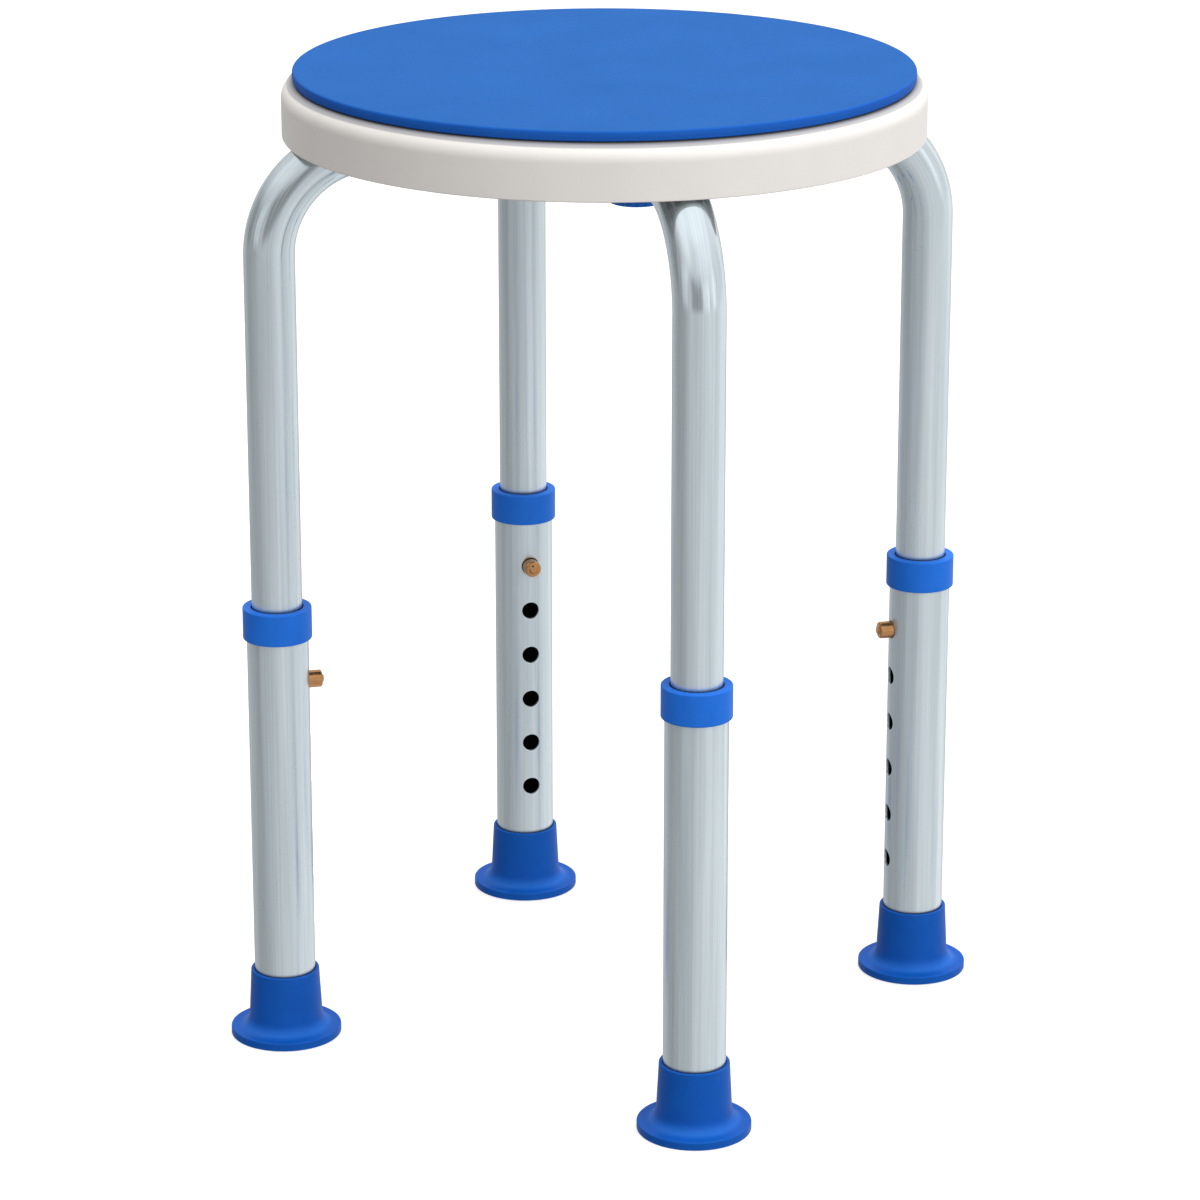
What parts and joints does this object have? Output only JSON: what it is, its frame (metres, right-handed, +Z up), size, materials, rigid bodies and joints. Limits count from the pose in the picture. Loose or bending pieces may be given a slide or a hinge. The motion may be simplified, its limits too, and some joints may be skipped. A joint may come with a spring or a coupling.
{
  "type": "shower stool",
  "caption": "Round shower stool: padded swivelling seat on two crossed U-shaped tubes, with telescopic legs, snap buttons and flanged rubber feet.",
  "frame": {"origin": "on the floor, on the stool's upright axis, between the four feet", "axes": "+Z up; +X towards the right leg and +Y towards the back leg, one U-shaped frame tube lying along each; the stool stands at its tallest setting"},
  "size_m": [0.3954, 0.3954, 0.4947],
  "materials": {
    "pad_foam": "matte",
    "shell_plastic": "fine satin",
    "anodised_tube": "bright anodised",
    "zinc_steel": "zinc plated",
    "ball_steel": "polished",
    "blue_plastic": "satin",
    "blue_rubber": "matte",
    "black_plastic": "matte",
    "button_metal": "satin",
    "spring_steel": "plain",
    "rivet_aluminium": "plain"
  },
  "bodies": {
    "frame": {"frame_tube_over": "anodised_tube", "frame_tube_under": "anodised_tube", "centre_rivet": "rivet_aluminium", "upper_saddles": "black_plastic", "lower_saddles": "black_plastic", "frame_bolts": "zinc_steel", "thumb_nuts": "blue_plastic", "swivel_bottom_plate": "zinc_steel", "swivel_balls": "ball_steel", "swivel_eyelet": "zinc_steel", "tube_end_bush_right": "black_plastic", "tube_end_bush_back": "black_plastic", "tube_end_bush_left": "black_plastic", "tube_end_bush_front": "black_plastic", "button_spring_right": "spring_steel", "button_spring_back": "spring_steel", "button_spring_left": "spring_steel", "button_spring_front": "spring_steel"},
    "seat": {"seat_pad": "pad_foam", "seat_shell": "shell_plastic", "seat_screws": "zinc_steel", "swivel_top_plate": "zinc_steel"},
    "leg_right": {"leg_tube_right": "anodised_tube", "leg_collar_right": "blue_plastic", "leg_foot_right": "blue_rubber", "foot_washer_right": "zinc_steel"},
    "button_right": {"snap_button_right": "button_metal"},
    "leg_back": {"leg_tube_back": "anodised_tube", "leg_collar_back": "blue_plastic", "leg_foot_back": "blue_rubber", "foot_washer_back": "zinc_steel"},
    "button_back": {"snap_button_back": "button_metal"},
    "leg_left": {"leg_tube_left": "anodised_tube", "leg_collar_left": "blue_plastic", "leg_foot_left": "blue_rubber", "foot_washer_left": "zinc_steel"},
    "button_left": {"snap_button_left": "button_metal"},
    "leg_front": {"leg_tube_front": "anodised_tube", "leg_collar_front": "blue_plastic", "leg_foot_front": "blue_rubber", "foot_washer_front": "zinc_steel"},
    "button_front": {"snap_button_front": "button_metal"}
  },
  "joints": [
    {"name": "seat_swivel", "type": "hinge", "parent": "frame", "child": "seat", "pos_m": [0, 0, 0.479], "axis": [0, 0, 1], "continuous": true},
    {"name": "leg_right_height", "type": "slide", "parent": "frame", "child": "leg_right", "axis": [0, 0, 1], "range_m": [0, 0.127], "deforming": ["snap_button_right"]},
    {"name": "button_right_press", "type": "slide", "parent": "frame", "child": "button_right", "axis": [1, 0, 0], "range_m": [0, 0.0095], "stiffness_N_per_m": 1200, "springref_m": -0.002, "deforming": ["button_spring_right"]},
    {"name": "leg_back_height", "type": "slide", "parent": "frame", "child": "leg_back", "axis": [0, 0, 1], "range_m": [0, 0.127], "deforming": ["snap_button_back"]},
    {"name": "button_back_press", "type": "slide", "parent": "frame", "child": "button_back", "axis": [0, 1, 0], "range_m": [0, 0.0095], "stiffness_N_per_m": 1200, "springref_m": -0.002, "deforming": ["button_spring_back"]},
    {"name": "leg_left_height", "type": "slide", "parent": "frame", "child": "leg_left", "axis": [0, 0, 1], "range_m": [0, 0.127], "deforming": ["snap_button_left"]},
    {"name": "button_left_press", "type": "slide", "parent": "frame", "child": "button_left", "axis": [-1, 0, 0], "range_m": [0, 0.0095], "stiffness_N_per_m": 1200, "springref_m": -0.002, "deforming": ["button_spring_left"]},
    {"name": "leg_front_height", "type": "slide", "parent": "frame", "child": "leg_front", "axis": [0, 0, 1], "range_m": [0, 0.127], "deforming": ["snap_button_front"]},
    {"name": "button_front_press", "type": "slide", "parent": "frame", "child": "button_front", "axis": [0, -1, 0], "range_m": [0, 0.0095], "stiffness_N_per_m": 1200, "springref_m": -0.002, "deforming": ["button_spring_front"]}
  ]
}
